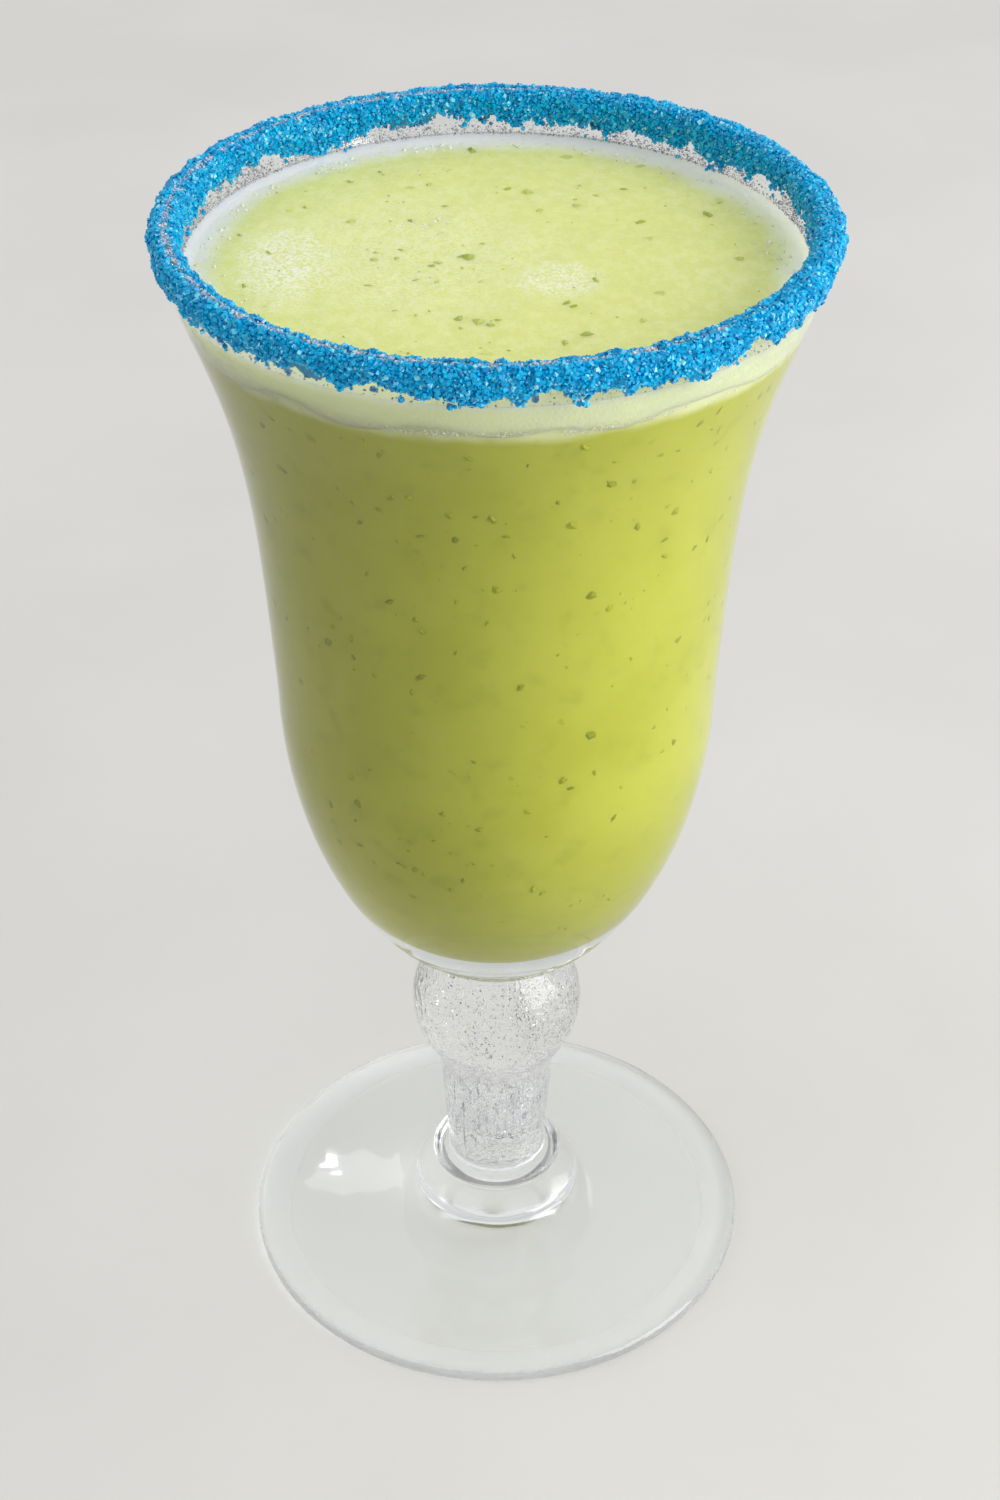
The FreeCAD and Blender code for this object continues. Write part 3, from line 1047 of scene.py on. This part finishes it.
def blue_sugar(nodes):
    tint = read(nodes, "tint")
    facet = read(nodes, "facet")
    colour = blend(tint.step(0.0, 0.7), SUGAR_DEEP, SUGAR_BLUE)
    # Facet shades are painted light, standing in for light bent inside the crystal; the palest
    # facets are painted glints.
    colour = blend(facet.step(0.35, 0.95) * 0.75, colour, SUGAR_CYAN)
    colour = blend(facet.step(0.92, 0.995), colour, SUGAR_ICE_AND_GLINT)
    # A few crystals turn near white: partly sugar without dye, partly painted sparkle.
    return sugar_skin(nodes, blend(tint.step(0.955, 0.985) * 0.8, colour, SUGAR_ICE_AND_GLINT))


def packed_sugar(nodes):
    grains = cells(own_place(nodes), 2200.0)
    shade = nodes.add("ShaderNodeSeparateColor", {0: grains.also("Color")})
    return sugar_skin(nodes, blend(shade, SUGAR_BLUE, SUGAR_CYAN), 0.4)


core = core_mesh()
face_outwards(core)
core.data.materials.append(make_finish("packed_sugar", packed_sugar))
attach(core, "root")
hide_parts("sugar_rim")
print("the sugar's core has", len(core.data.polygons), "faces")


# %% Crystals
def crystal(body, dice):
    """A block with two of its corners broken off."""
    corners = []
    stretch = (0.5, 0.5 * dice.uniform(0.75, 1.0), 0.5 * dice.uniform(0.6, 0.9))
    broken = dice.sample(range(8), 2)
    for number in range(8):
        corner = [1 if number >> axis & 1 else -1 for axis in range(3)]
        cuts = [(0, 0.5), (1, 0.5), (2, 0.5)] if number in broken else [(0, dice.uniform(0, 0.25))]
        for axis, cut in cuts:
            moved = [c * (1 - cut) if i == axis else c for i, c in enumerate(corner)]
            corners.append([c * s for c, s in zip(moved, stretch)])
    hull(body, corners)


STRAY_REACH = 1.5 * MM
CRUST_SHARE = 0.75


def crust_surface(side):
    """Where crystals lie: on the core, and thinly on the glass below its toe."""

    def where(angle, share):
        start, end = bare(angle, side), toe(angle, side)
        if share <= CRUST_SHARE:
            down = share / CRUST_SHARE
            place, out = lip_place(angle, side * (start + (end - start) * down))
            return place + out * crust_depth(angle, down), 1.0
        past = (share - CRUST_SHARE) / (1 - CRUST_SHARE)
        place, out = lip_place(angle, side * (end + STRAY_REACH * past))
        patch = 0.5 + noise.noise(place * 420)
        return place + out * 0.1 * MM, max(0.0, patch - 0.3 - 0.35 * past) * 0.8

    return ring_surface(900, 16, where, outwards=side < 0)


CRYSTALS = small_kinds("crystal", 8, crystal, 11)
BLUE_SUGAR = make_finish("blue_sugar", blue_sugar)
for side, name, seed in ((1, "sugar_outer", 3), (-1, "sugar_inner", 8)):
    scatter(
        name, crust_surface(side), CRYSTALS, BLUE_SUGAR, seed,
        spacing=0.31, density=1.8e7, size=(0.42, 0.74), depth=(0.0, 0.26),
    )

# %% [markdown]
# The very top of the lip carries only a thin line of smaller grains, many of which the dye
# never reached. Those look grey and lilac rather than blue, and their pale colour is also a
# painted highlight: denser at the back, they stand in for the bright reflection along the top
# of the lip. The line is widest on the left and at the front; on the right the blue crust
# closes over it.

# %% Clear grains on the top of the lip
def clear_sugar(nodes):
    # Facet shades from slate grey to pale white are partly undyed sugar, partly painted light and
    # highlight.
    colour = blend(read(nodes, "facet"), (0.32, 0.37, 0.44, 1), (0.78, 0.84, 0.92, 1))
    dyed = read(nodes, "tint").step(0.48, 0.62) * 0.8
    return sugar_skin(nodes, blend(dyed, colour, SUGAR_BLUE))


def lip_line(angle, share):
    inner, outer = -bare(angle, -1), bare(angle, 1)
    place, out = lip_place(angle, inner + (outer - inner) * share)
    # More grains at the back, where their pale colour paints in the bright reflection along the
    # lip.
    patch = 0.75 + 0.6 * noise.noise(place * 300) + max(0.0, math.sin(angle))
    return place + out * 0.08 * MM, clamp(patch)


scatter(
    "lip_grains", ring_surface(720, 4, lip_line, outwards=False), CRYSTALS,
    make_finish("clear_sugar", clear_sugar), seed=21,
    spacing=0.2, density=4e7, size=(0.22, 0.46), depth=(0.0, 0.16),
)
clear_away(CRYSTALS)

# %% [markdown]
# ## Lace and bubbles
#
# As the froth sinks it leaves a lace of tiny bubbles on the wall above it, mostly at the back
# and the sides, and a rope of them marks its lower border. One bubble is a ball of twenty
# faces or so, which looks smooth because it is so small.

# %% Bubbles
def bead(body, dice):
    """A rough ball, from points spread evenly over it and a little jittered."""
    corners = []
    for number in range(12):
        height = 1 - (2 * number + 1) / 12
        angle = number * 2.4 + dice.uniform(-0.2, 0.2)
        across = math.sqrt(1 - height**2)
        corners.append(round_axis(across, angle, height) / 2)
    hull(body, corners)


def bubbles(nodes, dark, light):
    colour = blend(read(nodes, "facet") * 0.5 + read(nodes, "tint") * 0.5, dark, light)
    return cloudy(nodes, colour, 0.12, 1.33, 0.5, (1.0, 1.0, 0.6), 0.3 * MM)


# %% The lace on the wall
BEADS = small_kinds("bead", 4, bead, 5)
LACE_TOP = 169.4 * MM
LACE_DARK = (0.11, 0.10, 0.13, 1)
LACE_LIGHT = (0.70, 0.68, 0.74, 1)


def lace(angle, share):
    height = FROTH_CREST - 0.25 * MM + (LACE_TOP - FROTH_CREST) * share
    place = round_axis(inner_radius(height) - 0.02 * MM, angle, height)
    patch = noise.noise(place * 240) + 0.5 * noise.noise(place * 700)
    behind = clamp(1 + 1.8 * math.sin(angle), 0.1)
    return place, behind * clamp(1.3 - 1.15 * share + 0.9 * patch)


scatter(
    "wall_lace", ring_surface(720, 6, lace, outwards=False), BEADS,
    make_finish("lace_bubbles", bubbles, LACE_DARK, LACE_LIGHT), seed=31,
    spacing=0.17, density=4e7, size=(0.13, 0.36), depth=(0.0, 0.05),
)


# %% The rope of bubbles at the froth's lower border
BUBBLE_DARK = (0.64, 0.69, 0.36, 1)
BUBBLE_LIGHT = (0.95, 0.97, 0.84, 1)
PALE_BUBBLES = make_finish("froth_bubbles", bubbles, BUBBLE_DARK, BUBBLE_LIGHT)


def rope(angle, share):
    wander = 0.45 * MM * noise.noise(round_axis(1, angle, 7) * 5)
    height = FROTH_FLOOR + 0.25 * MM + wander + 0.7 * MM * (share - 0.5)
    place = round_axis(inner_radius(height) + REACH, angle, height)
    return place, clamp(0.45 + 1.5 * noise.noise(place * 260))


scatter(
    "bubble_rope", ring_surface(720, 3, rope), BEADS, PALE_BUBBLES, seed=37,
    spacing=0.17, density=4e7, size=(0.14, 0.42), depth=(-0.06, 0.0),
)


# %% Bubbles on the froth
CLUSTERS = ((-0.010, 0.012, 4.5), (0.013, -0.004, 3.5), (0.036, 0.004, 5.0), (-0.031, -0.012, 3.0))
BUBBLE_RING = 0.86


def froth_skin(angle, share):
    place = round_axis(inner_radius(FROTH_TOP) * (0.03 + 0.93 * share), angle, FROTH_TOP)
    cover = 0.5 * max(0.0, share - BUBBLE_RING) / (1 - BUBBLE_RING)
    for x, y, reach in CLUSTERS:
        near = 1 - math.hypot(place.x - x, place.y - y) / (reach * MM)
        cover = max(cover, near * 0.8)
    return place, max(0.0, cover * (0.5 + 1.3 * noise.noise(place * 330)))


scatter(
    "froth_bubbles", ring_surface(240, 60, froth_skin, outwards=False), BEADS,
    PALE_BUBBLES, seed=43,
    spacing=0.32, density=3e6, size=(0.18, 0.75), depth=(-0.10, 0.0),
)

# %% [markdown]
# Pressed stems also hold seeds, tiny air bubbles caught in the thick glass, and in the column
# some are drawn out into upright threads. A real hollow in the glass would cost many more
# bounces of light. Light inside the glass bounces off a seed as off a mirror, so a bright,
# nearly metallic bead or spindle stands in for each.

# %% Seeds in the stem
def glass_seeds(nodes):
    colour = blend(read(nodes, "facet"), (0.42, 0.42, 0.50, 1), (0.98, 0.98, 1.0, 1))
    return principled(nodes, colour, 0.12, {"Metallic": 0.8})


SEED_GLINT = make_finish("glass_seeds", glass_seeds)
SEEDS_FOOT = COLUMN_FOOT + 2 * MM
SEEDS_SPAN = KNOP_CENTRE + 8 * MM - COLUMN_FOOT


def stem_skin(angle, share):
    height = SEEDS_FOOT + SEEDS_SPAN * share
    return round_axis(stem_radius(height) - 0.5 * MM, angle, height), 1.0


scatter(
    "stem_seeds", ring_surface(60, 60, stem_skin), BEADS, SEED_GLINT, seed=61,
    spacing=0.2, density=1.9e6, size=(0.06, 0.34), depth=(-6.0, 0.0),
)
clear_away(BEADS)


# %% Drawn bubbles in the column
THREADS_FOOT = COLUMN_FOOT + 4 * MM
THREADS_SPAN = COLUMN_TOP - COLUMN_FOOT - 5 * MM


def thread(body, dice):
    """A long spindle of six sides, which is what drawing out a bubble makes of it."""
    thick = dice.uniform(0.010, 0.018)
    corners = [(0, -0.5, 0), (0, 0.5, 0)]
    for number in range(6):
        angle = TURN * number / 6
        for height in (-0.2, 0.2):
            corners.append((thick * math.cos(angle), height, thick * math.sin(angle)))
    hull(body, corners)


def column_skin(angle, share):
    height = THREADS_FOOT + THREADS_SPAN * share
    return round_axis(COLUMN_LOW_RADIUS - 0.6 * MM, angle, height), 1.0


THREAD_KINDS = small_kinds("thread", 4, thread, 71)
scatter(
    "stem_threads", ring_surface(60, 20, column_skin), THREAD_KINDS, SEED_GLINT,
    seed=73,
    spacing=0.5, density=3.5e5, size=(2.5, 8.0), depth=(-5.0, 0.0), turns=(0.03, 0.04),
)
clear_away(THREAD_KINDS)

# %% [markdown]
# ## Pulp
#
# Shreds of herb and peel float in the drink. Those that touch the wall are sharp and dark,
# those a little deeper are blurred and pale. The sharp ones are flat flakes set into the
# drink's skin; the blurred ones are the soft specks of the drink's own finish.

# %% Pulp flakes
def flake(body, dice):
    """A flat shred with an uneven outline, longer than it is wide and thin at its edge."""
    wide = dice.uniform(0.35, 0.8)
    top, bottom = (body.verts.new((0, 0, height)) for height in (0.12, -0.12))
    edge = []
    for number in range(9):
        angle = TURN * (number + dice.uniform(-0.3, 0.3)) / 9
        reach = dice.uniform(0.2, 0.5)
        edge.append(body.verts.new((reach * math.cos(angle), wide * reach * math.sin(angle), 0)))
    for here, there in zip(edge, edge[1:] + edge[:1]):
        body.faces.new((here, there, top))
        body.faces.new((there, here, bottom))


def pulp(nodes, dark, light):
    fibre = waves(own_place(nodes), 2600.0, 2.0)
    colour = blend(read(nodes, "tint") * 0.8 + fibre * 0.3, dark, light)
    return soft_body(nodes, colour, 0.45, 0.1, 0.5 * MM, bump(fibre, 0.05 * MM))


# %% Pulp against the wall
FLAKES = small_kinds("flake", 8, flake, 17)
PULP_FOOT = 72 * MM
PULP_SPAN = FROTH_FLOOR - 74 * MM


def drink_side(angle, share):
    height = PULP_FOOT + PULP_SPAN * share
    place = round_axis(inner_radius(height) + REACH, angle, height)
    return place, clamp(0.35 + 0.45 * share + 0.7 * noise.noise(place * 60))


scatter(
    "pulp_side", ring_surface(240, 60, drink_side), FLAKES,
    make_finish("dark_pulp", pulp, (0.235, 0.275, 0.003, 1), (0.45, 0.48, 0.015, 1)), seed=51,
    spacing=0.7, density=1.0e5, size=(0.4, 2.5), depth=(-0.10, 0.0), turns=(0.12, math.pi),
)


# %% Pulp on the froth
def froth_flat(angle, share):
    place = round_axis(inner_radius(FROTH_TOP) * (0.02 + 0.9 * share), angle, FROTH_TOP)
    return place, clamp(0.5 + 0.8 * noise.noise(place * 60))


scatter(
    "pulp_top", ring_surface(160, 30, froth_flat, outwards=False), FLAKES,
    make_finish("pale_pulp", pulp, (0.31, 0.39, 0.06, 1), (0.58, 0.64, 0.18, 1)), seed=57,
    spacing=0.7, density=7.0e4, size=(0.6, 2.8), depth=(-0.10, 0.0), turns=(0.12, math.pi),
)
clear_away(FLAKES)

# %% [markdown]
# ## Floor, light and camera
#
# A plain pale floor and soft lamps show the object as it is. A wide lamp to the right is the
# main light, as a window would be. Three small ones at the back left put the gloss on the
# froth and the small bright spots on the foot. The room is darker near the horizon, which
# draws the edges of clear glass. The camera is close and looks down into the glass.

# %% Floor
def pale_floor(nodes):
    mottle = waves(own_place(nodes), 9.0, 4.0)
    colour = blend(mottle.step(0.3, 0.7), (0.68, 0.665, 0.64, 1), (0.72, 0.705, 0.68, 1))
    return principled(nodes, colour, 0.7)


FLOOR_HALF = 4.0
corners = [(x * FLOOR_HALF, y * FLOOR_HALF, 0) for x, y in ((-1, -1), (1, -1), (1, 1), (-1, 1))]
floor = new_piece("floor", corners, (), [(0, 1, 2, 3)])
floor.data.materials.append(make_finish("pale_floor", pale_floor))


# %% Light
def window(name, place, target, size, power):
    """A lamp of that width and height, in metres, that faces the target."""
    lamp = bpy.data.lights.new(name, "AREA")
    lamp.shape = "RECTANGLE"
    lamp.size, lamp.size_y = size
    lamp.energy = power
    holder = bpy.data.objects.new(name, lamp)
    holder.location = place
    aim = Vector(target) - Vector(place)
    holder.rotation_euler = aim.to_track_quat("-Z", "Y").to_euler()
    bpy.context.scene.collection.objects.link(holder)


BOWL_CENTRE = (0, 0, 0.1)
FOOT_CENTRE = (0, 0, 0)
window("right_window", (1.00, -0.42, 0.50), BOWL_CENTRE, (0.9, 0.9), 11.5)
window("left_window", (-0.44, 0.76, 0.64), FOOT_CENTRE, (0.24, 0.20), 0.26)
window("high_spot", (-0.33, 0.84, 0.65), FOOT_CENTRE, (0.012, 0.012), 0.07)
window("low_spot", (-0.37, 0.86, 0.72), FOOT_CENTRE, (0.010, 0.010), 0.05)

world = bpy.data.worlds.new("soft_room")
bpy.context.scene.world = world
world.use_nodes = True
room = Nodes(world.node_tree)
east, _, up = parts(room.add("ShaderNodeTexCoord"))
glow = blend(east.step(-1.0, 1.0), (0.46, 0.465, 0.47, 1), (0.54, 0.545, 0.55, 1))
glow = blend(up.step(0.0, 0.6), glow, (0.79, 0.80, 0.81, 1))
room.add("ShaderNodeOutputWorld", {"Surface": room.add("ShaderNodeBackground", {"Color": glow})})

# %% Camera
LENS = 63.09
SENSOR = 36.0
SHIFT = (0.0023, 0.0)
CAMERA_PLACE = (0.0, -0.3075, 0.3084)
LOOKING_DOWN = 35.35
lens = bpy.data.cameras.new("camera")
lens.lens = LENS
lens.sensor_width = SENSOR
lens.shift_x, lens.shift_y = SHIFT
lens.clip_start = 0.01
camera = bpy.data.objects.new("camera", lens)
camera.location = CAMERA_PLACE
camera.rotation_euler = (math.radians(90 - LOOKING_DOWN), 0, 0)
bpy.context.scene.collection.objects.link(camera)
bpy.context.scene.camera = camera
bpy.context.scene.view_settings.view_transform = "Standard"
